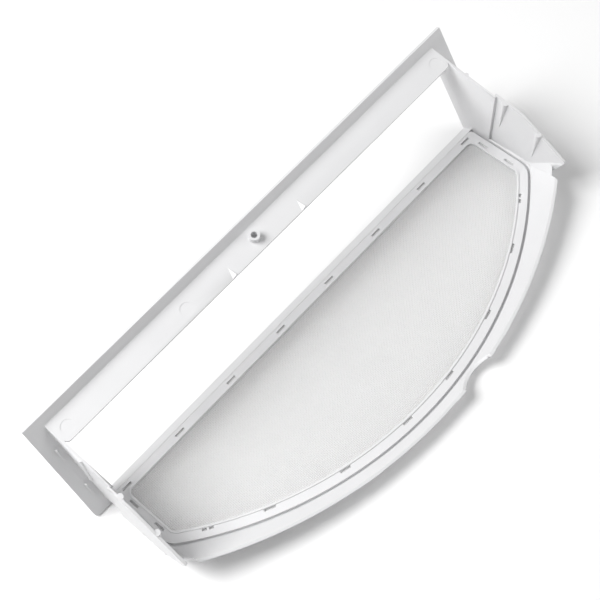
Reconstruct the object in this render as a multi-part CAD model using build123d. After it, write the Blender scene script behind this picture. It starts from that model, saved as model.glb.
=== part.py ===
from build123d import *

import os
from math import asin, atan2, cos, degrees, hypot, radians, sin, sqrt, tan

# Lint filter of a tumble dryer: a moulded basket with a leaning front plate, a mesh frame
# let into its floor, and a woven screen held in a groove of that frame.
# Sizes are millimetres and degrees. X runs along the front plate, Y to the rear and Z up.
# The basket is drawn with the top of its mesh frame at Z = 0 and the plate's lower back edge
# at Y = 0, and is then laid down on the two edges that it rests on.

# Front plate and the window through it
plate_length = 350.0
plate_height = 80.0
plate_thickness = 2.2
plate_lean = 25.4
plate_drop = 11.4
plate_foot_radius = 3.0
plate_wing = 12.8
window_head = 6.8
window_foot = 7.8

# Flange along the head of the window, with its boss, ramps and ejector marks
flange_depth = 16.4
flange_thickness = 1.6
flange_corner_radius = 3.0
boss_x = 4.0
boss_inset = 7.4
boss_diameter = 7.0
boss_bore = 4.0
boss_height = 4.0
boss_floor = 0.8
ramp_places = (28.0, -30.5)
ramp_length = 7.0
ramp_width = 3.0
ramp_height = 2.2
mark_ends = (6.9, 5.7)
mark_middle = 62.0
mark_inset = 9.7
mark_diameter = 8.4
mark_depth = 0.2

# Cheeks at the two ends of the basket
cheek_wall = 1.6
rim_fall = 10.0
step_y = 19.4
step_rise = 0.6
shoulder_y = 38.7
tip_reach = 24.4
tip_rise = 5.4
tip_radius = 1.5
ear_width = 2.2
ear_lean = 30.0
draw_lean = 5.0
pinch_rib_y = -3.7
pinch_rib_radius = 1.3
pinch_rib_length = 32.0
stiffener_front_y = 26.0
stiffener_tip_gap = 20.5
stiffener_radius = 2.0
stiffener_point = 0.25
stiffener_length = 27.0
stiffener_lean = 8.0

# Keys on the back of the plate, outside the cheeks
key_edge = 8.0
key_width = 1.3
key_height = 2.0
key_point = 0.3
key_spans = ((45.0, 56.0), (12.0, 24.5))

# Floor of the basket
basket_depth = 108.4
rear_radius = 249.1
rear_corner_radius = 12.6
front_corner_radius = 2.4
ledge_width = 6.0
ledge_thickness = 2.0
sill_wall = 2.4

# Sloped rear wall
band_slope = 42.0
band_wall = 1.5
band_land = 0.5
band_rise = 5.3
band_edge_lean = 8.6
gusset_lead = 3.4
gusset_size = 6.0
gusset_climb = 41.7
gusset_point = 0.03
gusset_steps = 6
notch_reach = 16.2
notch_width = 4.6
notch_skew = 3.2
notch_flare = 12.0
scallop_x = -28.0
scallop_width = 25.5
scallop_depth = 4.1

# Mesh frame let into the floor
frame_gap = 1.6
frame_front_gap = 0.2
frame_front = 2.0
frame_bar = 5.5
frame_border = 7.0
frame_thickness = 2.5
frame_rear_outer_radius = 11.0
frame_rear_inner_radius = 5.0
frame_front_inner_radius = 4.0
lip_width = 1.3
lip_height = 0.6
slot_length = 6.8
slot_width = 1.5
slot_inset = 3.0
rear_slot_inset = 2.3
split_slot_length = 2.7
split_slot_bridge = 1.2
bar_slot_end = 1.7
bar_slot_count = 8
side_slot_places = (15.4, 36.0)
rear_slot_angles = (4.4, 15.2, 26.5)
split_slot_end = 19.5

# Woven screen, its threads drawn coarser and its openings fewer than they are
screen_core = 0.3
thread_height = 0.22
thread_width = 1.8
thread_pitch = 4.2
opening_column_threads = 6
opening_row_threads = 4
opening_margin = 2.0
screen_grip = 4.6
screen_gap = 0.2

# Sizes that follow from the ones above
spare = 1.0
reach = 2 * plate_length
basket_width = plate_length - 2 * plate_wing
cheek_inner = basket_width / 2
cheek_outer = cheek_inner + cheek_wall
rear_cheek_inner = cheek_outer
rear_cheek_outer = rear_cheek_inner + cheek_wall
flange_root = flange_thickness / cos(radians(plate_lean + rim_fall))
arc_centre_y = basket_depth - rear_radius
floor_z = -frame_thickness
base_z = floor_z - ledge_thickness
pocket_front = frame_front - frame_front_gap
ledge_front = frame_front + frame_bar - (frame_border - (ledge_width - frame_gap))
band_inner_radius = rear_radius + band_land
band_outer_radius = band_inner_radius + band_wall / sin(radians(band_slope))
band_edge_y = arc_centre_y + band_outer_radius + band_rise / tan(radians(band_slope))
arc_axis = Axis((0, arc_centre_y, 0), (0, 0, 1))
corner_y = arc_centre_y + sqrt(band_inner_radius**2 - rear_cheek_inner**2)
tip_y = corner_y + tip_reach
notch_foot_y = corner_y + notch_reach
mark_places = (cheek_inner - mark_ends[0], mark_middle, mark_ends[1] - cheek_inner)
stiffener_places = (stiffener_front_y, tip_y - stiffener_tip_gap)
frame_half = cheek_inner - frame_gap
frame_radius = rear_radius - frame_gap
mesh_half = frame_half - frame_border
mesh_radius = frame_radius - frame_border
mesh_front = frame_front + frame_bar
bar_slot_pitch = 2 * (mesh_half - bar_slot_end) / (bar_slot_count - 1)
split_slot_angle = degrees(asin(mesh_half / mesh_radius) - split_slot_end / (mesh_radius + rear_slot_inset))
screen_thickness = screen_core + 2 * thread_height
screen_z = floor_z + (frame_thickness - screen_core) / 2


def plate_back(height):
    """Point (Y, Z) on the back of the plate, a height up from its lower edge."""
    lean = radians(plate_lean)
    return (-height * sin(lean), height * cos(lean) - plate_drop)


window_top = plate_back(plate_height - window_head)
window_low = plate_back(window_foot)
plate_plane = Plane(
    origin=(0, 0, -plate_drop),
    x_dir=(1, 0, 0),
    z_dir=(0, -cos(radians(plate_lean)), -sin(radians(plate_lean))),
)
flange_plane = Plane(
    origin=(0, *window_top),
    x_dir=(1, 0, 0),
    z_dir=(0, sin(radians(rim_fall)), cos(radians(rim_fall))),
)


def rim_z(y):
    """Height of the cheek's top edge in front of the shoulder, without the step's rise."""
    return window_top[1] - (y - window_top[0]) * tan(radians(rim_fall))


def slope_z(x, y):
    """Height of the sloped rear wall's inner face over a point of the floor."""
    return (hypot(x, y - arc_centre_y) - band_inner_radius) * tan(radians(band_slope))


step_z = rim_z(step_y)
shoulder_z = rim_z(shoulder_y) + step_rise
tip_z = slope_z(rear_cheek_inner, tip_y) + tip_rise
shoulder_slope = (shoulder_z - tip_z) / (tip_y - shoulder_y)


def leaned(y, from_z, to_z, lean):
    """Y at to_z on a line that leans to the rear as it climbs and passes y at from_z."""
    return y + (to_z - from_z) * tan(radians(lean))


def slab(points, low, high):
    """Side profile of (Y, Z) points, as a slab between two X positions."""
    profile = Plane.YZ.offset(low) * make_face(Polyline(*points, close=True))
    return extrude(profile, high - low)


def both_ends(shape):
    """A shape at the +X end together with its mirror image at the other end."""
    return shape + mirror(shape, Plane.YZ)


def d_outline(half_width, front, radius, rear_fillet, front_fillet):
    """Outline with a straight front and ends and an arc along the rear."""
    span = Pos(0, front + radius) * Rectangle(2 * half_width, 2 * radius)
    outline = (Pos(0, arc_centre_y) * Circle(radius)) & span
    if rear_fillet > 0:
        outline = fillet(outline.vertices().sort_by(Axis.Y)[-2:], rear_fillet)
    if front_fillet > 0:
        outline = fillet(outline.vertices().sort_by(Axis.Y)[:2], front_fillet)
    return outline


def layer(outline, low, high):
    """A flat outline as a layer between two heights."""
    return extrude(Pos(0, 0, low) * outline, high - low)


def front_plate():
    """Leaning plate with its window, and the keys on its back beside the cheeks."""
    sheet = Rectangle(plate_length, plate_height, align=(Align.CENTER, Align.MIN))
    sheet = fillet(sheet.vertices().sort_by(Axis.Y)[:2], plate_foot_radius)
    window_height = plate_height - window_head - flange_root - window_foot
    hole = Rectangle(basket_width, window_height, align=(Align.CENTER, Align.MIN))
    plate = extrude(plate_plane * (sheet - Pos(0, window_foot) * hole), plate_thickness)
    for foot, head in key_spans:
        plate += both_ends(plate_key(foot, head))
    return plate


def plate_key(foot, head):
    """Thin ramp on the back of the plate, highest at its upper end."""
    side = Plane(
        origin=plate_plane.from_local_coords((plate_length / 2 - key_edge, 0, 0)),
        x_dir=plate_plane.y_dir,
        z_dir=(1, 0, 0),
    )
    ramp = make_face(Polyline((foot, 0), (head, 0), (head, -key_height), (foot, -key_point), close=True))
    return extrude(side * ramp, key_width)


def flange():
    """Roof lip from the head of the window to the rear, with boss, ramps and ejector marks."""
    sheet = Rectangle(2 * cheek_inner, flange_depth, align=(Align.CENTER, Align.MIN))
    sheet = fillet(sheet.vertices().sort_by(Axis.Y)[-2:], flange_corner_radius)
    lip = extrude(flange_plane * sheet, -flange_thickness)
    lip += flange_plane * Pos(boss_x, boss_inset) * extrude(Circle(boss_diameter / 2), boss_height)
    for x in ramp_places:
        lip += flange_ramp(x)
    for x in mark_places:
        mark = extrude(Circle(mark_diameter / 2), -mark_depth)
        lip -= flange_plane * Pos(x, mark_inset) * mark
    bore = extrude(Circle(boss_bore / 2), boss_height + flange_thickness - boss_floor)
    return lip - flange_plane * Pos(boss_x, boss_inset, boss_floor - flange_thickness) * bore


def flange_ramp(x):
    """Pointed fin that climbs to the flange's free edge, upright on one side and sloped on the other."""
    end = Plane(
        origin=flange_plane.from_local_coords((x, flange_depth, 0)),
        x_dir=(1, 0, 0),
        z_dir=-flange_plane.y_dir,
    )
    section = end * make_face(Polyline((0, 0), (ramp_width, 0), (0, ramp_height), close=True))
    point = Vertex(*flange_plane.from_local_coords((x, flange_depth - ramp_length, 0)))
    return loft([section, point])


def cheek():
    """End wall at +X: front part, a jog outwards at the step, and the rear part with its tip."""
    step_foot = (leaned(step_y, step_z, base_z, draw_lean), base_z)
    sill_foot = plate_back(window_foot - sill_wall)
    front = slab(
        [window_top, (step_y, step_z), step_foot, (ledge_front, base_z), sill_foot],
        cheek_inner,
        cheek_outer,
    )
    riser_y = step_y - cheek_wall
    riser_z = rim_z(riser_y) + step_rise
    tip_foot = (leaned(tip_y, tip_z, base_z, ear_lean), base_z)
    profile = make_face(
        Polyline(
            (riser_y, riser_z),
            (shoulder_y, shoulder_z),
            (tip_y, tip_z),
            tip_foot,
            (leaned(riser_y, riser_z, base_z, draw_lean), base_z),
            close=True,
        )
    )
    tip = profile.vertices().sort_by_distance((tip_y, tip_z, 0))[0]
    rear = extrude(Plane.YZ.offset(rear_cheek_inner) * fillet(tip, tip_radius), cheek_wall)
    return front + (rear + stiffeners() - below_band()) + pinch_rib()


def pinch_rib():
    """Half-round rib on the outer face of the cheek, down from its rim."""
    top = Plane(
        origin=(cheek_outer, pinch_rib_y, rim_z(pinch_rib_y)),
        x_dir=(1, 0, 0),
        z_dir=(0, sin(radians(draw_lean)), cos(radians(draw_lean))),
    )
    return top * extrude(Circle(pinch_rib_radius), -pinch_rib_length)


def stiffeners():
    """Tapered ribs on the inner face of the cheek's rear part, pointed at the foot."""
    ribs = []
    for y in stiffener_places:
        fall = max(0.0, y - shoulder_y)
        rim = rim_z(min(y, shoulder_y)) + step_rise - fall * shoulder_slope
        rib = Cone(
            stiffener_point,
            stiffener_radius,
            stiffener_length,
            align=(Align.CENTER, Align.CENTER, Align.MAX),
        )
        ribs.append(Pos(rear_cheek_inner, y, rim) * Rot(-stiffener_lean, 0, 0) * rib)
    outside = Pos(rear_cheek_outer, 0, 0) * Box(
        reach, reach, reach, align=(Align.MIN, Align.CENTER, Align.CENTER)
    )
    return (ribs[0] + ribs[1:]) - outside


def band_profile(points):
    """Profile of (radius, Z) points turned about the axis of the rear arc, across the basket."""
    span = 2 * degrees(atan2(rear_cheek_outer, basket_depth))
    plane = Plane(origin=(0, arc_centre_y, 0), x_dir=(0, 1, 0), z_dir=(1, 0, 0))
    turned = revolve(plane * make_face(Polyline(*points, close=True)), arc_axis, span)
    return turned.rotate(arc_axis, -span / 2)


def slope_point(base_radius, z):
    """Point (radius, Z) on a wall that climbs outwards from a radius at Z = 0."""
    return (base_radius + z / tan(radians(band_slope)), z)


def below_band():
    """Space under the sloped wall, outside the skirt of the floor."""
    low = base_z - spare
    far = slope_point(band_outer_radius, plate_height)
    return band_profile([(band_outer_radius, low), (band_outer_radius, 0), far, (far[0], low)])


def rear_band():
    """Sloped wall along the rear arc, up to its leaning edge, with the ears beside the cheeks."""
    top_z = tip_z + spare
    band = band_profile(
        [
            (band_inner_radius, 0),
            (band_outer_radius, 0),
            slope_point(band_outer_radius, top_z),
            slope_point(band_inner_radius, top_z),
        ]
    )
    band &= Box(2 * rear_cheek_outer, reach, reach)
    band += both_ends(gusset())
    ear_inner = rear_cheek_outer - ear_width
    edge = Plane(
        origin=(0, band_edge_y, band_rise),
        x_dir=(1, 0, 0),
        z_dir=(0, sin(radians(band_edge_lean)), cos(radians(band_edge_lean))),
    )
    above = (Align.CENTER, Align.CENTER, Align.MIN)
    band -= edge * Box(2 * ear_inner, reach, reach, align=above)
    end = Pos(0, tip_y, tip_z) * Rot(-ear_lean, 0, 0)
    behind = (Align.MIN, Align.MIN, Align.CENTER)
    band -= both_ends(Pos(ear_inner, 0, 0) * end * Box(reach, reach, reach, align=behind))
    return band - both_ends(notch(ear_inner)) - scallop()


def gusset():
    """Strip between the sloped wall and the cheek that widens as it climbs to the tip."""
    sunk = band_wall / 2
    corner = rear_cheek_inner + cheek_wall / 2
    start_y = corner_y - gusset_lead
    run = tip_y + spare - start_y
    climb = tan(radians(gusset_climb))
    sections = []
    for i in range(gusset_steps + 1):
        share = max(gusset_point, i / gusset_steps)
        y = start_y + run * i / gusset_steps
        inboard = rear_cheek_inner - share * gusset_size
        inboard_z = max(0.0, slope_z(inboard, y))
        corner_z = max(0.0, slope_z(rear_cheek_inner, y))
        points = [
            (inboard, y, inboard_z - sunk),
            (corner, y, corner_z - sunk),
            (corner, y, min(climb * share * run, tip_z - tip_radius)),
            (inboard, y, inboard_z),
        ]
        sections.append(make_face(Polyline(*points, close=True)))
    return loft(sections, ruled=True)


def notch(ear_inner):
    """Flared notch in the sloped wall, beside the ear at +X."""
    far_x = ear_inner - notch_width
    turn_y = notch_foot_y + notch_skew
    mouth_x = far_x - (basket_depth - turn_y) * tan(radians(notch_flare))
    points = [
        (ear_inner, notch_foot_y),
        (far_x, turn_y),
        (mouth_x, basket_depth),
        (ear_inner, basket_depth),
    ]
    return layer(make_face(Polyline(*points, close=True)), spare, tip_z + spare)


def scallop():
    """Shallow round dip in the edge of the sloped wall."""
    radius = (scallop_width**2 / 4 + scallop_depth**2) / (2 * scallop_depth)
    centre_z = band_rise - scallop_depth + radius
    disc = Plane.XZ.offset(-tip_y) * Pos(scallop_x, centre_z) * Circle(radius)
    return extrude(disc, -basket_depth)


def basket_floor():
    """Ledge ring under the mesh frame, the pocket around the frame and the skirt outside."""
    outer = d_outline(rear_cheek_outer, pocket_front, band_outer_radius, 0, 0)
    pocket = d_outline(cheek_inner, pocket_front, rear_radius, rear_corner_radius, 0)
    hole = d_outline(
        cheek_inner - ledge_width,
        ledge_front,
        rear_radius - ledge_width,
        rear_corner_radius - ledge_width,
        front_corner_radius,
    )
    floor = layer(outer, base_z, 0) - layer(pocket, floor_z, spare) - layer(hole, base_z - spare, spare)
    riser_y = step_y - cheek_wall
    riser_z = rim_z(riser_y) + step_rise
    high_y = leaned(riser_y, riser_z, spare, draw_lean)
    low_y = leaned(riser_y, riser_z, base_z - spare, draw_lean)
    corner = [(-spare, spare), (high_y, spare), (low_y, base_z - spare), (-spare, base_z - spare)]
    return floor - both_ends(slab(corner, cheek_outer, rear_cheek_outer + spare))


def sill():
    """Sloped wall from the foot of the window up to the front of the mesh frame."""
    points = [
        window_low,
        (pocket_front, 0),
        (pocket_front, floor_z),
        (ledge_front, floor_z),
        (ledge_front, base_z),
        plate_back(window_foot - sill_wall),
    ]
    return slab(points, -cheek_outer, cheek_outer)


def filter_basket():
    """The whole moulding: plate, flange, cheeks, sill, floor and sloped rear wall."""
    return front_plate() + flange() + both_ends(cheek()) + sill() + basket_floor() + rear_band()


def frame_slots():
    """Places and directions of the slots in the mesh frame's top, with their lengths."""
    slots = []
    for i in range(bar_slot_count):
        x = (i - (bar_slot_count - 1) / 2) * bar_slot_pitch
        slots.append((Pos(x, mesh_front - slot_inset), slot_length))
    for y in side_slot_places:
        for side in (-1, 1):
            slots.append((Pos(side * (mesh_half + slot_inset), y) * Rot(0, 0, 90), slot_length))
    rear = mesh_radius + rear_slot_inset
    half_turn = degrees((split_slot_length + split_slot_bridge) / 2 / rear)
    turns = [(angle, slot_length) for angle in rear_slot_angles]
    turns += [(split_slot_angle + side * half_turn, split_slot_length) for side in (-1, 1)]
    for angle, length in turns:
        for side in (-1, 1):
            turn = Rot(0, 0, side * angle)
            slots.append((Pos(0, arc_centre_y) * turn * Pos(0, rear), length))
    return slots


def mesh_frame():
    """Flat frame with a raised inner lip, slots in its top and the groove that grips the screen."""
    outer = d_outline(frame_half, frame_front, frame_radius, frame_rear_outer_radius, front_corner_radius)
    inner = d_outline(
        mesh_half, mesh_front, mesh_radius, frame_rear_inner_radius, frame_front_inner_radius
    )
    lip = d_outline(
        mesh_half + lip_width,
        mesh_front - lip_width,
        mesh_radius + lip_width,
        frame_rear_inner_radius + lip_width,
        frame_front_inner_radius + lip_width,
    )
    frame = layer(outer - inner, floor_z, 0) + layer(lip - inner, 0, lip_height)
    groove_low = screen_z - thread_height
    frame -= layer(screen_outline(screen_gap), groove_low, groove_low + screen_thickness)
    for place, length in frame_slots():
        cut = place * Rectangle(length, slot_width)
        frame -= layer(cut, groove_low + screen_thickness, spare)
    return frame


def screen_outline(extra):
    """Outline of the screen inside the frame's groove, grown by a gap."""
    grip = screen_grip + extra
    return d_outline(
        mesh_half + grip,
        mesh_front - grip,
        mesh_radius + grip,
        frame_rear_inner_radius + grip,
        frame_front_inner_radius + grip,
    )


def thread_comb(half_span, height):
    """Closed comb of threads side by side on a backing of half the core."""
    count = int(half_span // thread_pitch)
    backing = screen_core / 2
    points = [(-half_span, 0), (-half_span, backing)]
    for i in range(-count, count + 1):
        left = i * thread_pitch - thread_width / 2
        right = left + thread_width
        if right < half_span and left > -half_span:
            points += [(left, backing), (left, height), (right, height), (right, backing)]
    points += [(half_span, backing), (half_span, 0)]
    return make_face(Polyline(*points, close=True))


def screen_openings(middle_y):
    """Grid of square openings inside the frame's lip, each between threads of both directions."""
    half = thread_pitch - thread_width / 2
    column_step = opening_column_threads * thread_pitch
    row_step = opening_row_threads * thread_pitch
    columns = round((mesh_half - opening_margin - half) / column_step)
    rows = int((middle_y - half - opening_margin - mesh_front) / row_step)
    openings = []
    for i in range(-columns, columns):
        for j in range(-rows, rows + 1):
            x, y = (i + 0.5) * column_step, middle_y + j * row_step
            far = hypot(abs(x) + half, y + half - arc_centre_y)
            if far < mesh_radius - opening_margin:
                openings.append(Pos(x, y) * Rectangle(2 * half, 2 * half))
    return openings[0] + openings[1:]


def mesh_screen():
    """Woven screen: threads along X above and along Y below, with openings between them."""
    height = screen_core / 2 + thread_height
    middle_z = screen_z + screen_core / 2
    half_width = mesh_half + screen_grip
    half_depth = (arc_centre_y + mesh_radius - mesh_front) / 2 + screen_grip
    middle_y = mesh_front - screen_grip + half_depth
    across = Plane(origin=(0, middle_y, middle_z), x_dir=(0, 1, 0), z_dir=(1, 0, 0))
    along = Plane(origin=(0, middle_y, middle_z), x_dir=(1, 0, 0), z_dir=(0, 1, 0))
    upper = extrude(across * thread_comb(half_depth, height), half_width, both=True)
    lower = extrude(along * thread_comb(half_width, height), half_depth, both=True)
    outline = layer(screen_outline(0), middle_z - height, middle_z + height)
    outline -= layer(screen_openings(middle_y), middle_z - height, middle_z + height)
    return (upper & outline) + (lower & outline)


def lay_down(shapes):
    """Turns the part onto the plate's front lower edge and the skirt's rear, over its own centre."""
    lean = radians(plate_lean)
    plate_foot = (-plate_thickness * cos(lean), -plate_drop - plate_thickness * sin(lean))
    rear_foot = (arc_centre_y + band_outer_radius, base_z)
    tilt = atan2(rear_foot[1] - plate_foot[1], rear_foot[0] - plate_foot[0])
    turned = {name: Rot(-degrees(tilt), 0, 0) * shape for name, shape in shapes.items()}
    box = turned["filter_basket"].bounding_box()
    place = Pos(0, -(box.min.Y + box.max.Y) / 2, -box.min.Z)
    return {name: place * shape for name, shape in turned.items()}


parts = lay_down(
    {
        "filter_basket": filter_basket(),
        "mesh_frame": mesh_frame(),
        "mesh_screen": mesh_screen(),
    }
)
os.makedirs("parts", exist_ok=True)
for node, shape in parts.items():
    export_step(shape, f"parts/{node}.step")
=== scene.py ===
# Looks of a tumble dryer's lint filter: a white moulded basket, the slotted frame let into
# its floor, and the woven screen that the frame holds. Lengths are metres, and sizes that a
# maker would give in millimetres are multiplied by MM.
import logging
import math
from dataclasses import dataclass
from enum import Enum
from typing import Any

import bmesh
import bpy
import numpy as np
from mathutils import Matrix, Vector


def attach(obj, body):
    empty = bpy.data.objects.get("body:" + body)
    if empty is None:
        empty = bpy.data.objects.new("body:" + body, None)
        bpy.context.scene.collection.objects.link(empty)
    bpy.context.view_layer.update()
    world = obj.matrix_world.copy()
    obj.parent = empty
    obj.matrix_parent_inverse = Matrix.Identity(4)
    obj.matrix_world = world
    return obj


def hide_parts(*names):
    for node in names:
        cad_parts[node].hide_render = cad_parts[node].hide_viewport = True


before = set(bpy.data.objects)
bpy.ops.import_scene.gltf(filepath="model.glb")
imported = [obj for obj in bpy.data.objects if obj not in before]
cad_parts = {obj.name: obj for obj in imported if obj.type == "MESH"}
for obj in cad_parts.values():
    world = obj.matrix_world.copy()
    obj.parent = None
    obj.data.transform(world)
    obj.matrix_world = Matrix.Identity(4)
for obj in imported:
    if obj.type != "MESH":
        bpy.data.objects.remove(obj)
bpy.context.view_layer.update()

MM = 0.001
BODY = "root"
# A Mix node's colour sockets share their names with its other sockets, so they go by index.
MIX_PALE, MIX_DEEP, MIX_RESULT = 6, 7, 2
log = logging.getLogger("lint_filter")


class Slot(Enum):
    """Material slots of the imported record."""

    BASKET = "basket_plastic"
    FRAME = "frame_plastic"
    SCREEN = "screen_mesh"


class Lay(Enum):
    """Directions of the threads in the woven screen."""

    WARP = "screen_warp"
    WEFT = "screen_weft"


def linear(colour: str) -> tuple[float, float, float, float]:
    """Turns an sRGB hex colour into linear RGBA.

    Args:
        colour: Colour such as "#F4F4F2".

    Returns:
        Linear red, green, blue and an alpha of 1.
    """
    channels = [int(colour[i : i + 2], 16) / 255 for i in (1, 3, 5)]
    rgb = [c / 12.92 if c <= 0.04045 else ((c + 0.055) / 1.055) ** 2.4 for c in channels]
    return (rgb[0], rgb[1], rgb[2], 1.0)


def add_node(
    tree: bpy.types.NodeTree,
    kind: str,
    settings: dict[str, Any] | None = None,
    inputs: dict[str | int, Any] | None = None,
) -> bpy.types.Node:
    """Adds a node, sets its properties, and fills or links its inputs.

    Args:
        tree: Node tree that takes the node.
        kind: Type name of the node.
        settings: Values of the node's properties by name.
        inputs: Values or output sockets by the name or index of an input.

    Returns:
        The new node.
    """
    node = tree.nodes.new(kind)
    for name, value in (settings or {}).items():
        setattr(node, name, value)
    for key, value in (inputs or {}).items():
        if isinstance(value, bpy.types.NodeSocket):
            tree.links.new(value, node.inputs[key])
        else:
            node.inputs[key].default_value = value
    return node


def new_material(name: str) -> tuple[bpy.types.Material, bpy.types.NodeTree]:
    """Makes an empty node material.

    Args:
        name: Name of the material.

    Returns:
        The material and its node tree.
    """
    material = bpy.data.materials.new(name)
    material.use_nodes = True
    material.node_tree.nodes.clear()
    return material, material.node_tree


def bake(piece: bpy.types.Object) -> None:
    """Turns a piece with modifiers into a plain mesh.

    Args:
        piece: Object whose modifiers are applied and removed.
    """
    bpy.context.view_layer.update()
    graph = bpy.context.evaluated_depsgraph_get()
    mesh = bpy.data.meshes.new_from_object(piece.evaluated_get(graph))
    piece.modifiers.clear()
    old = piece.data
    piece.data = mesh
    mesh.name = piece.name
    bpy.data.meshes.remove(old)


@dataclass(frozen=True)
class MouldedPlastic:
    """White plastic, injection moulded.

    The eye gets an even, nearly neutral white with a broad soft highlight, a dull fine grain,
    and faint clouds and flow marks where the melt ran along the part.
    """

    name: str
    pale: str
    deep: str
    roughness: float
    flow: float
    grain_mm: float
    grain_depth_mm: float
    cloud_mm: float
    flow_length_mm: float
    flow_width_mm: float

    def material(self) -> bpy.types.Material:
        """Builds the material.

        Returns:
            The finished material.
        """
        material, tree = new_material(self.name)
        place = add_node(tree, "ShaderNodeTexCoord").outputs["Object"]
        cloud = add_node(
            tree,
            "ShaderNodeTexNoise",
            inputs={"Vector": place, "Scale": 1 / (self.cloud_mm * MM), "Detail": 3.0},
        )
        colour = add_node(
            tree,
            "ShaderNodeMix",
            {"data_type": "RGBA"},
            {
                "Factor": cloud.outputs[0],
                MIX_PALE: linear(self.pale),
                MIX_DEEP: linear(self.deep),
            },
        )
        along, across = 1 / (self.flow_length_mm * MM), 1 / (self.flow_width_mm * MM)
        stretched = add_node(
            tree,
            "ShaderNodeMapping",
            inputs={"Vector": place, "Scale": (along, across, across)},
        )
        run = add_node(
            tree,
            "ShaderNodeTexNoise",
            inputs={"Vector": stretched.outputs[0], "Scale": 1.0, "Detail": 4.0},
        )
        # The noise stays mostly between 0.3 and 0.7, which is spread over the flow marks.
        rough = add_node(
            tree,
            "ShaderNodeMapRange",
            inputs={
                "Value": run.outputs[0],
                "From Min": 0.3,
                "From Max": 0.7,
                "To Min": self.roughness - self.flow,
                "To Max": self.roughness + self.flow,
            },
        )
        grain = add_node(
            tree,
            "ShaderNodeTexNoise",
            inputs={"Vector": place, "Scale": 1 / (self.grain_mm * MM), "Detail": 2.0},
        )
        bump = add_node(
            tree,
            "ShaderNodeBump",
            inputs={
                "Strength": 0.5,
                "Distance": self.grain_depth_mm * MM,
                "Height": grain.outputs[0],
            },
        )
        shader = add_node(
            tree,
            "ShaderNodeBsdfPrincipled",
            inputs={
                "Base Color": colour.outputs[MIX_RESULT],
                "Roughness": rough.outputs[0],
                "IOR": 1.53,
                "Normal": bump.outputs[0],
            },
        )
        add_node(tree, "ShaderNodeOutputMaterial", inputs={"Surface": shader.outputs[0]})
        return material


@dataclass(frozen=True)
class WovenMonofilament:
    """Polyester monofilament, drawn and woven.

    The eye gets a pale grey-white cloth of bright threads, each a little lighter or darker than
    the next, with a small sharp gleam along its crown.
    """

    name: str
    pale: str
    deep: str
    roughness: float
    thread_mm: float
    streak_mm: float
    streak_depth_mm: float

    def material(self) -> bpy.types.Material:
        """Builds the material.

        Returns:
            The finished material.
        """
        material, tree = new_material(self.name)
        place = add_node(tree, "ShaderNodeTexCoord").outputs["Object"]
        shade = add_node(
            tree,
            "ShaderNodeTexNoise",
            inputs={"Vector": place, "Scale": 1 / (self.thread_mm * MM), "Detail": 1.0},
        )
        colour = add_node(
            tree,
            "ShaderNodeMix",
            {"data_type": "RGBA"},
            {
                "Factor": shade.outputs[0],
                MIX_PALE: linear(self.pale),
                MIX_DEEP: linear(self.deep),
            },
        )
        streak = add_node(
            tree,
            "ShaderNodeTexNoise",
            inputs={"Vector": place, "Scale": 1 / (self.streak_mm * MM), "Detail": 2.0},
        )
        bump = add_node(
            tree,
            "ShaderNodeBump",
            inputs={
                "Strength": 0.4,
                "Distance": self.streak_depth_mm * MM,
                "Height": streak.outputs[0],
            },
        )
        shader = add_node(
            tree,
            "ShaderNodeBsdfPrincipled",
            inputs={
                "Base Color": colour.outputs[MIX_RESULT],
                "Roughness": self.roughness,
                "IOR": 1.57,
                "Normal": bump.outputs[0],
            },
        )
        add_node(tree, "ShaderNodeOutputMaterial", inputs={"Surface": shader.outputs[0]})
        return material


# The tool's grain dulls the white and spreads its highlight.
BASKET_WHITE = MouldedPlastic(
    name="white ABS, moulded with a spark-eroded grain",
    pale="#E5E5E6",
    deep="#DFDFE0",
    roughness=0.42,
    flow=0.06,
    # A real spark-eroded grain is near 0.1 mm. It is drawn coarser, so that it shows.
    grain_mm=0.6,
    grain_depth_mm=0.02,
    cloud_mm=24.0,
    flow_length_mm=90.0,
    flow_width_mm=7.0,
)
# A smoother tool leaves a slightly tighter highlight than the basket's.
FRAME_WHITE = MouldedPlastic(
    name="white polypropylene, moulded smooth",
    pale="#E8E8E9",
    deep="#E1E1E2",
    roughness=0.36,
    flow=0.05,
    grain_mm=0.5,
    grain_depth_mm=0.01,
    cloud_mm=18.0,
    flow_length_mm=60.0,
    flow_width_mm=5.0,
)
# The threads are whiter than the mouldings, and the shade between them greys the cloth.
SCREEN_WHITE = WovenMonofilament(
    name="white polyester monofilament, plain woven",
    pale="#FFFFFF",
    deep="#FAFAFA",
    roughness=0.38,
    thread_mm=1.2,
    streak_mm=0.2,
    streak_depth_mm=0.01,
)


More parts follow.
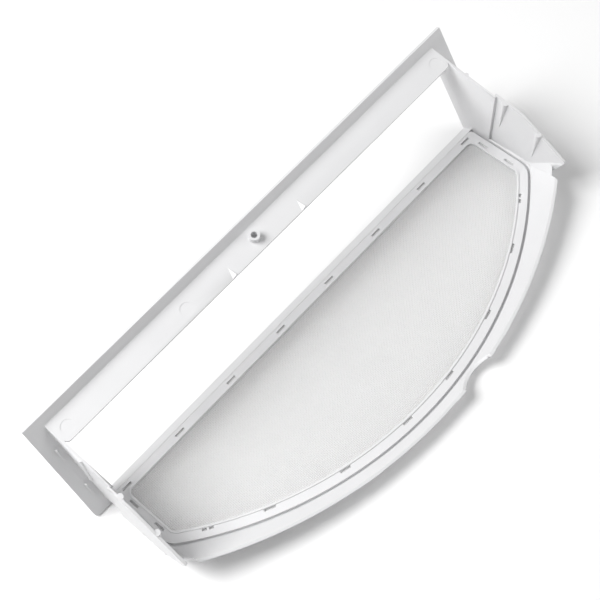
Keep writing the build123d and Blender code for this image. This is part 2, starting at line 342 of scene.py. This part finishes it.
@dataclass
class Moulding:
    """A moulded piece: its solid's own form, with the small edge radii that a tool leaves.

    An edge is rounded past edge_angle, if every edge that meets it is longer than edge_room
    radii. Beside a flat surface larger than flat_area, edges past crease_angle stay crisp, so
    that the flat isn't shaded as if it were curved.
    """

    node: str
    piece: str
    slot: Slot
    finish: MouldedPlastic
    edge_radius: float = 0.3 * MM
    edge_segments: int = 2
    edge_room: float = 4.0
    edge_angle: float = math.radians(32)
    crease_angle: float = math.radians(8)
    flat_angle: float = math.radians(0.3)
    flat_area: float = 100 * MM**2
    weld: float = 0.002 * MM

    def build(self) -> bpy.types.Object:
        """Copies the solid's mesh, welds its triangles and rounds its edges.

        Returns:
            The finished piece, riding on the part's body.
        """
        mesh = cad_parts[self.node].data.copy()
        mesh.name = self.piece
        mesh.materials.clear()
        self.weld_faces(mesh)
        piece = bpy.data.objects.new(self.piece, mesh)
        bpy.context.scene.collection.objects.link(piece)
        self.round_edges(piece)
        self.dress(piece)
        log.info("%s: %d faces", self.piece, len(piece.data.polygons))
        return piece

    def weld_faces(self, mesh: bpy.types.Mesh) -> None:
        """Welds loose triangles into one smooth skin.

        Args:
            mesh: Mesh that is changed.
        """
        shape = bmesh.new()
        shape.from_mesh(mesh)
        bmesh.ops.remove_doubles(shape, verts=shape.verts[:], dist=self.weld)
        for face in shape.faces:
            face.smooth = True
        shape.to_mesh(mesh)
        shape.free()

    def round_edges(self, piece: bpy.types.Object) -> None:
        """Rounds the sharp edges that have room for the radius, and creases the others.

        Args:
            piece: Object whose mesh is changed.
        """
        shape = bmesh.new()
        shape.from_mesh(piece.data)
        shape.faces.index_update()
        flats = self.flat_areas(shape)
        weight = shape.edges.layers.float.new("bevel_weight_edge")
        room = self.edge_room * self.edge_radius
        for edge in shape.edges:
            angle = edge.calc_face_angle(0.0)
            near = [e for v in edge.verts for e in v.link_edges]
            rounded = angle > self.edge_angle and min(e.calc_length() for e in near) > room
            beside_flat = max(flats[f.index] for f in edge.link_faces) > self.flat_area
            creased = angle > (self.crease_angle if beside_flat else self.edge_angle)
            edge[weight] = 1.0 if rounded else 0.0
            edge.smooth = rounded or not creased
        shape.to_mesh(piece.data)
        shape.free()
        bevel = piece.modifiers.new("edge radius", "BEVEL")
        bevel.width = self.edge_radius
        bevel.segments = self.edge_segments
        bevel.limit_method = "WEIGHT"
        bevel.use_clamp_overlap = False
        level = piece.modifiers.new("even shading", "WEIGHTED_NORMAL")
        level.mode = "FACE_AREA"
        level.weight = 100
        level.keep_sharp = True
        bake(piece)

    def flat_areas(self, shape: bmesh.types.BMesh) -> dict[int, float]:
        """Measures the flat surface that each triangle is a part of.

        Args:
            shape: Mesh with an up-to-date face index.

        Returns:
            Area of the flat surface by the index of each of its triangles.
        """
        areas: dict[int, float] = {}
        for seed in shape.faces:
            if seed.index in areas:
                continue
            flat, queue = {seed}, [seed]
            while queue:
                for edge in queue.pop().edges:
                    if edge.calc_face_angle(math.pi) < self.flat_angle:
                        new = set(edge.link_faces) - flat
                        flat |= new
                        queue.extend(new)
            total = sum(face.calc_area() for face in flat)
            areas.update((face.index, total) for face in flat)
        return areas

    def dress(self, piece: bpy.types.Object) -> None:
        """Gives the piece its finish and its place in the part.

        Args:
            piece: The finished piece.
        """
        piece.data.materials.append(self.finish.material())
        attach(piece, BODY)
        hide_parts(self.node)


@dataclass
class WovenScreen:
    """The stretched screen: warp threads from front to rear and weft threads along the plate.

    The real threads are taken to be about 0.5 mm apart. They are drawn 1.1 mm apart, so that
    they show.
    """

    node: str = "mesh_screen"
    pitch: float = 1.1 * MM
    thread_width: float = 0.72 * MM
    thread_height: float = 0.36 * MM
    thread_sides: int = 4
    rear_radius: float = 245.1 * MM
    rear_corner: float = 9.6 * MM
    front_corner: float = 8.6 * MM
    arc_steps: int = 96
    corner_steps: int = 8
    finish: WovenMonofilament = SCREEN_WHITE

    def build(self) -> list[bpy.types.Object]:
        """Weaves the screen in the place of its solid.

        Returns:
            The warp and the weft.
        """
        place, half_width, half_depth = self.measure()
        cut = self.cut(half_width, half_depth)
        material = self.finish.material()
        tree = self.weave_tree()
        pieces = []
        for lay in Lay:
            piece = self.weave(lay, cut, tree, material, half_width, half_depth)
            piece.data.transform(place)
            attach(piece, BODY)
            log.info("%s: %d faces", piece.name, len(piece.data.polygons))
            pieces.append(piece)
        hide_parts(self.node)
        bpy.data.meshes.remove(cut)
        return pieces

    def measure(self) -> tuple[Matrix, float, float]:
        """Reads the plane and the reach of the screen from its solid.

        Returns:
            Matrix from the screen's own plane to the part, half its width and half its depth.
        """
        points = np.array([v.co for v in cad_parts[self.node].data.vertices])
        slope = np.polyfit(points[:, 1], points[:, 2], 1)[0]
        lean = math.atan(slope)
        along = Vector((0, math.cos(lean), math.sin(lean)))
        depth = points @ np.array(along)
        lift = points @ np.array((0, -math.sin(lean), math.cos(lean)))
        middle = Vector((0, (depth.min() + depth.max()) / 2, (lift.min() + lift.max()) / 2))
        place = Matrix.Rotation(lean, 4, "X") @ Matrix.Translation(middle)
        return place, float(np.abs(points[:, 0]).max()), float(np.ptp(depth) / 2)

    def cut(self, half_width: float, half_depth: float) -> bpy.types.Mesh:
        """Makes the flat blank that the threads fill: straight front and ends, round rear.

        Args:
            half_width: Half the blank's width.
            half_depth: Half the blank's depth.

        Returns:
            A mesh of one face in the XY plane.
        """
        centre_y = half_depth - self.rear_radius
        inner = self.rear_radius - self.rear_corner
        corner_x = half_width - self.rear_corner
        corner_y = centre_y + math.sqrt(inner**2 - corner_x**2)
        turn = math.atan2(corner_y - centre_y, corner_x)
        front_x = half_width - self.front_corner
        front_y = self.front_corner - half_depth
        arcs = [
            (front_x, front_y, self.front_corner, -math.pi / 2, 0.0, self.corner_steps),
            (corner_x, corner_y, self.rear_corner, 0.0, turn, self.corner_steps),
            (0.0, centre_y, self.rear_radius, turn, math.pi - turn, self.arc_steps),
            (-corner_x, corner_y, self.rear_corner, math.pi - turn, math.pi, self.corner_steps),
            (-front_x, front_y, self.front_corner, math.pi, 1.5 * math.pi, self.corner_steps),
        ]
        points = []
        for x, y, radius, start, end, steps in arcs:
            for i in range(steps + 1):
                angle = start + (end - start) * i / steps
                points.append((x + radius * math.cos(angle), y + radius * math.sin(angle), 0.0))
        mesh = bpy.data.meshes.new("screen cut")
        mesh.from_pydata(points, [], [range(len(points))])
        return mesh

    def weave_tree(self) -> bpy.types.NodeTree:
        """Builds the node tree that fills a blank with threads of one direction.

        Returns:
            The tree, with named inputs for its sizes.
        """
        tree = bpy.data.node_groups.new("woven threads", "GeometryNodeTree")
        for name, kind in (
            ("Blank", "NodeSocketGeometry"),
            ("Threads", "NodeSocketInt"),
            ("Crossings", "NodeSocketInt"),
            ("Start", "NodeSocketVector"),
            ("Thread Step", "NodeSocketVector"),
            ("Crossing Step", "NodeSocketVector"),
            ("Rise", "NodeSocketFloat"),
            ("Thread Size", "NodeSocketVector"),
            ("Finish", "NodeSocketMaterial"),
        ):
            tree.interface.new_socket(name, in_out="INPUT", socket_type=kind)
        tree.interface.new_socket("Threads", in_out="OUTPUT", socket_type="NodeSocketGeometry")
        given = add_node(tree, "NodeGroupInput").outputs
        bent = add_node(
            tree,
            "GeometryNodeSetPosition",
            inputs={
                "Geometry": self.straight_threads(tree, given),
                "Offset": self.over_and_under(tree, given),
            },
        )
        trimmed = add_node(
            tree,
            "GeometryNodeDeleteGeometry",
            {"domain": "POINT", "mode": "ALL"},
            {"Geometry": bent.outputs[0], "Selection": self.off_the_blank(tree, given)},
        )
        tubes = self.thread_tubes(tree, given, trimmed.outputs[0])
        real = add_node(tree, "GeometryNodeRealizeInstances", inputs={0: tubes})
        dressed = add_node(
            tree,
            "GeometryNodeSetMaterial",
            inputs={"Geometry": real.outputs[0], "Material": given["Finish"]},
        )
        add_node(tree, "NodeGroupOutput", inputs={0: dressed.outputs[0]})
        return tree

    def straight_threads(
        self, tree: bpy.types.NodeTree, given: bpy.types.NodeOutputs
    ) -> bpy.types.NodeSocket:
        """Lays rows of points, one row for each thread and one point for each crossing.

        Args:
            tree: Node tree of the weave.
            given: Sizes that the tree is given.

        Returns:
            The rows as lines of mesh.
        """
        thread = add_node(
            tree,
            "GeometryNodeMeshLine",
            inputs={"Count": given["Crossings"], "Offset": given["Crossing Step"]},
        )
        feet = add_node(
            tree,
            "GeometryNodeMeshLine",
            inputs={
                "Count": given["Threads"],
                "Start Location": given["Start"],
                "Offset": given["Thread Step"],
            },
        )
        rows = add_node(
            tree,
            "GeometryNodeInstanceOnPoints",
            inputs={"Points": feet.outputs[0], "Instance": thread.outputs[0]},
        )
        lines = add_node(tree, "GeometryNodeRealizeInstances", inputs={0: rows.outputs[0]})
        return lines.outputs[0]

    def over_and_under(
        self, tree: bpy.types.NodeTree, given: bpy.types.NodeOutputs
    ) -> bpy.types.NodeSocket:
        """Raises and lowers crossings by turns, and starts each thread opposite to the last.

        Args:
            tree: Node tree of the weave.
            given: Sizes that the tree is given.

        Returns:
            Offset of each crossing.
        """
        index = add_node(tree, "GeometryNodeInputIndex").outputs[0]
        count = given["Crossings"]
        ratio = add_node(tree, "ShaderNodeMath", {"operation": "DIVIDE"}, {0: index, 1: count})
        row = add_node(tree, "ShaderNodeMath", {"operation": "FLOOR"}, {0: ratio.outputs[0]})
        passed = add_node(
            tree, "ShaderNodeMath", {"operation": "MULTIPLY"}, {0: row.outputs[0], 1: count}
        )
        step = add_node(
            tree, "ShaderNodeMath", {"operation": "SUBTRACT"}, {0: index, 1: passed.outputs[0]}
        )
        place = add_node(
            tree, "ShaderNodeMath", {"operation": "ADD"}, {0: row.outputs[0], 1: step.outputs[0]}
        )
        parity = add_node(
            tree, "ShaderNodeMath", {"operation": "FLOORED_MODULO"}, {0: place.outputs[0], 1: 2.0}
        )
        # A parity of 0 or 1 becomes a side of -1 or 1.
        side = add_node(
            tree,
            "ShaderNodeMath",
            {"operation": "MULTIPLY_ADD"},
            {0: parity.outputs[0], 1: 2.0, 2: -1.0},
        )
        lift = add_node(
            tree,
            "ShaderNodeMath",
            {"operation": "MULTIPLY"},
            {0: side.outputs[0], 1: given["Rise"]},
        )
        return add_node(tree, "ShaderNodeCombineXYZ", inputs={"Z": lift.outputs[0]}).outputs[0]

    def off_the_blank(
        self, tree: bpy.types.NodeTree, given: bpy.types.NodeOutputs
    ) -> bpy.types.NodeSocket:
        """Finds the crossings that lie outside the blank, by looking down at it from each.

        Args:
            tree: Node tree of the weave.
            given: Sizes that the tree is given.

        Returns:
            True for each crossing that has no cloth under it.
        """
        crossing = add_node(tree, "GeometryNodeInputPosition").outputs[0]
        above = add_node(
            tree,
            "ShaderNodeVectorMath",
            {"operation": "ADD"},
            {0: crossing, 1: (0.0, 0.0, self.pitch)},
        )
        ray = add_node(
            tree,
            "GeometryNodeRaycast",
            inputs={
                "Target Geometry": given["Blank"],
                "Source Position": above.outputs[0],
                "Ray Direction": (0.0, 0.0, -1.0),
                "Ray Length": 2 * self.pitch,
            },
        )
        missed = add_node(
            tree, "FunctionNodeBooleanMath", {"operation": "NOT"}, {0: ray.outputs["Is Hit"]}
        )
        return missed.outputs[0]

    def thread_tubes(
        self,
        tree: bpy.types.NodeTree,
        given: bpy.types.NodeOutputs,
        lines: bpy.types.NodeSocket,
    ) -> bpy.types.NodeSocket:
        """Gives lines the body of a flattened thread with closed ends.

        Args:
            tree: Node tree of the weave.
            given: Sizes that the tree is given.
            lines: Lines that the threads follow.

        Returns:
            The threads.
        """
        curves = add_node(tree, "GeometryNodeMeshToCurve", inputs={"Mesh": lines})
        circle = add_node(
            tree,
            "GeometryNodeCurvePrimitiveCircle",
            inputs={"Resolution": self.thread_sides, "Radius": 1.0},
        )
        section = add_node(
            tree,
            "GeometryNodeTransform",
            inputs={"Geometry": circle.outputs[0], "Scale": given["Thread Size"]},
        )
        tubes = add_node(
            tree,
            "GeometryNodeCurveToMesh",
            inputs={
                "Curve": curves.outputs[0],
                "Profile Curve": section.outputs[0],
                "Fill Caps": True,
            },
        )
        smooth = add_node(
            tree,
            "GeometryNodeSetShadeSmooth",
            inputs={"Geometry": tubes.outputs[0], "Shade Smooth": True},
        )
        return smooth.outputs[0]

    def weave(
        self,
        lay: Lay,
        cut: bpy.types.Mesh,
        tree: bpy.types.NodeTree,
        material: bpy.types.Material,
        half_width: float,
        half_depth: float,
    ) -> bpy.types.Object:
        """Makes the threads of one direction as a plain mesh.

        Args:
            lay: Direction of the threads.
            cut: The blank that the threads fill.
            tree: Node tree of the weave.
            material: Finish of the threads.
            half_width: Half the blank's width.
            half_depth: Half the blank's depth.

        Returns:
            The threads, in the screen's own plane.
        """
        columns = 2 * int(half_width / self.pitch) + 1
        rows = 2 * int(half_depth / self.pitch) + 1
        start = (-(columns - 1) / 2 * self.pitch, -(rows - 1) / 2 * self.pitch, 0.0)
        along_x, along_y = (self.pitch, 0.0, 0.0), (0.0, self.pitch, 0.0)
        warp = lay is Lay.WARP
        rise = self.thread_height / 2
        values = {
            "Threads": columns if warp else rows,
            "Crossings": rows if warp else columns,
            "Start": start,
            "Thread Step": along_x if warp else along_y,
            "Crossing Step": along_y if warp else along_x,
            "Rise": rise if warp else -rise,
            "Thread Size": (self.thread_height / 2, self.thread_width / 2, 1.0),
            "Finish": material,
        }
        piece = bpy.data.objects.new(lay.value, cut.copy())
        bpy.context.scene.collection.objects.link(piece)
        modifier = piece.modifiers.new("weave", "NODES")
        modifier.node_group = tree
        for item in tree.interface.items_tree:
            if item.in_out == "INPUT" and item.name in values:
                modifier[item.identifier] = values[item.name]
        bake(piece)
        return piece


@dataclass(frozen=True)
class SoftBox:
    """A square soft light that faces the part."""

    name: str
    toward: tuple[float, float, float]
    distance: float
    size: float
    power: float

    def build(self, target: Vector) -> bpy.types.Object:
        """Hangs the light.

        Args:
            target: Point that the light faces.

        Returns:
            The light's object.
        """
        lamp = bpy.data.lights.new(self.name, "AREA")
        lamp.shape = "SQUARE"
        lamp.size = self.size
        lamp.energy = self.power
        light = bpy.data.objects.new(self.name, lamp)
        direction = Vector(self.toward).normalized()
        light.location = target + direction * self.distance
        light.rotation_mode = "QUATERNION"
        light.rotation_quaternion = direction.to_track_quat("Z", "Y")
        bpy.context.scene.collection.objects.link(light)
        return light


@dataclass
class Studio:
    """Pale floor, soft light and the photograph's camera."""

    floor_size: float = 6.0
    floor_colour: str = "#FAFAFA"
    sky_colour: str = "#FFFFFF"
    sky: float = 0.12
    target: tuple[float, float, float] = (0.0, 0.0, 0.02)
    boxes: tuple[SoftBox, ...] = (
        SoftBox("key", (0.45, -0.42, 0.79), distance=1.4, size=0.9, power=23.2),
        SoftBox("fill", (-0.6, 0.55, 0.57), distance=1.5, size=1.4, power=10.5),
    )
    camera_place: tuple[float, float, float] = (235.9 * MM, 326.88 * MM, 697.67 * MM)
    camera_look: tuple[float, float, float] = (-0.2903, -0.4539, -0.8424)
    camera_up: tuple[float, float, float] = (-0.6823, -0.5191, 0.5147)
    camera_lens_mm: float = 80.7
    camera_sensor_mm: float = 36.0

    def build(self) -> None:
        """Sets up floor, world, lights and camera."""
        self.floor()
        self.world()
        for box in self.boxes:
            box.build(Vector(self.target))
        self.camera()
        log.info("studio: %d lights", len(self.boxes))

    def floor(self) -> None:
        """Lays the floor that the part rests on."""
        half = self.floor_size / 2
        mesh = bpy.data.meshes.new("floor")
        corners = [(-half, -half, 0.0), (half, -half, 0.0), (half, half, 0.0), (-half, half, 0.0)]
        mesh.from_pydata(corners, [], [(0, 1, 2, 3)])
        # Matt paper has no highlight, so the eye gets an even white under the part.
        material, tree = new_material("matt white backdrop paper")
        shader = add_node(
            tree,
            "ShaderNodeBsdfPrincipled",
            inputs={"Base Color": linear(self.floor_colour), "Roughness": 0.9},
        )
        add_node(tree, "ShaderNodeOutputMaterial", inputs={"Surface": shader.outputs[0]})
        mesh.materials.append(material)
        floor = bpy.data.objects.new("floor", mesh)
        bpy.context.scene.collection.objects.link(floor)

    def world(self) -> None:
        """Fills the room with even light, and shows colours as they are."""
        world = bpy.data.worlds.new("studio")
        world.use_nodes = True
        world.node_tree.nodes.clear()
        sky = add_node(
            world.node_tree,
            "ShaderNodeBackground",
            inputs={"Color": linear(self.sky_colour), "Strength": self.sky},
        )
        add_node(world.node_tree, "ShaderNodeOutputWorld", inputs={"Surface": sky.outputs[0]})
        bpy.context.scene.world = world
        bpy.context.scene.view_settings.view_transform = "Standard"

    def camera(self) -> None:
        """Stands the camera where the photograph was taken from."""
        data = bpy.data.cameras.new("camera")
        data.lens = self.camera_lens_mm
        data.sensor_fit = "HORIZONTAL"
        data.sensor_width = self.camera_sensor_mm
        back = -Vector(self.camera_look).normalized()
        right = Vector(self.camera_up).cross(back).normalized()
        up = back.cross(right)
        turn = Matrix((right, up, back)).transposed().to_4x4()
        camera = bpy.data.objects.new("camera", data)
        camera.matrix_world = Matrix.Translation(self.camera_place) @ turn
        bpy.context.scene.collection.objects.link(camera)
        bpy.context.scene.camera = camera


def main() -> None:
    """Builds and dresses the part, then the studio round it."""
    logging.basicConfig(level=logging.INFO, format="%(name)s %(message)s")
    Moulding("filter_basket", "moulded_basket", Slot.BASKET, BASKET_WHITE).build()
    Moulding("mesh_frame", "screen_frame", Slot.FRAME, FRAME_WHITE, edge_radius=0.2 * MM).build()
    WovenScreen().build()
    Studio().build()


if __name__ == "__main__":
    main()
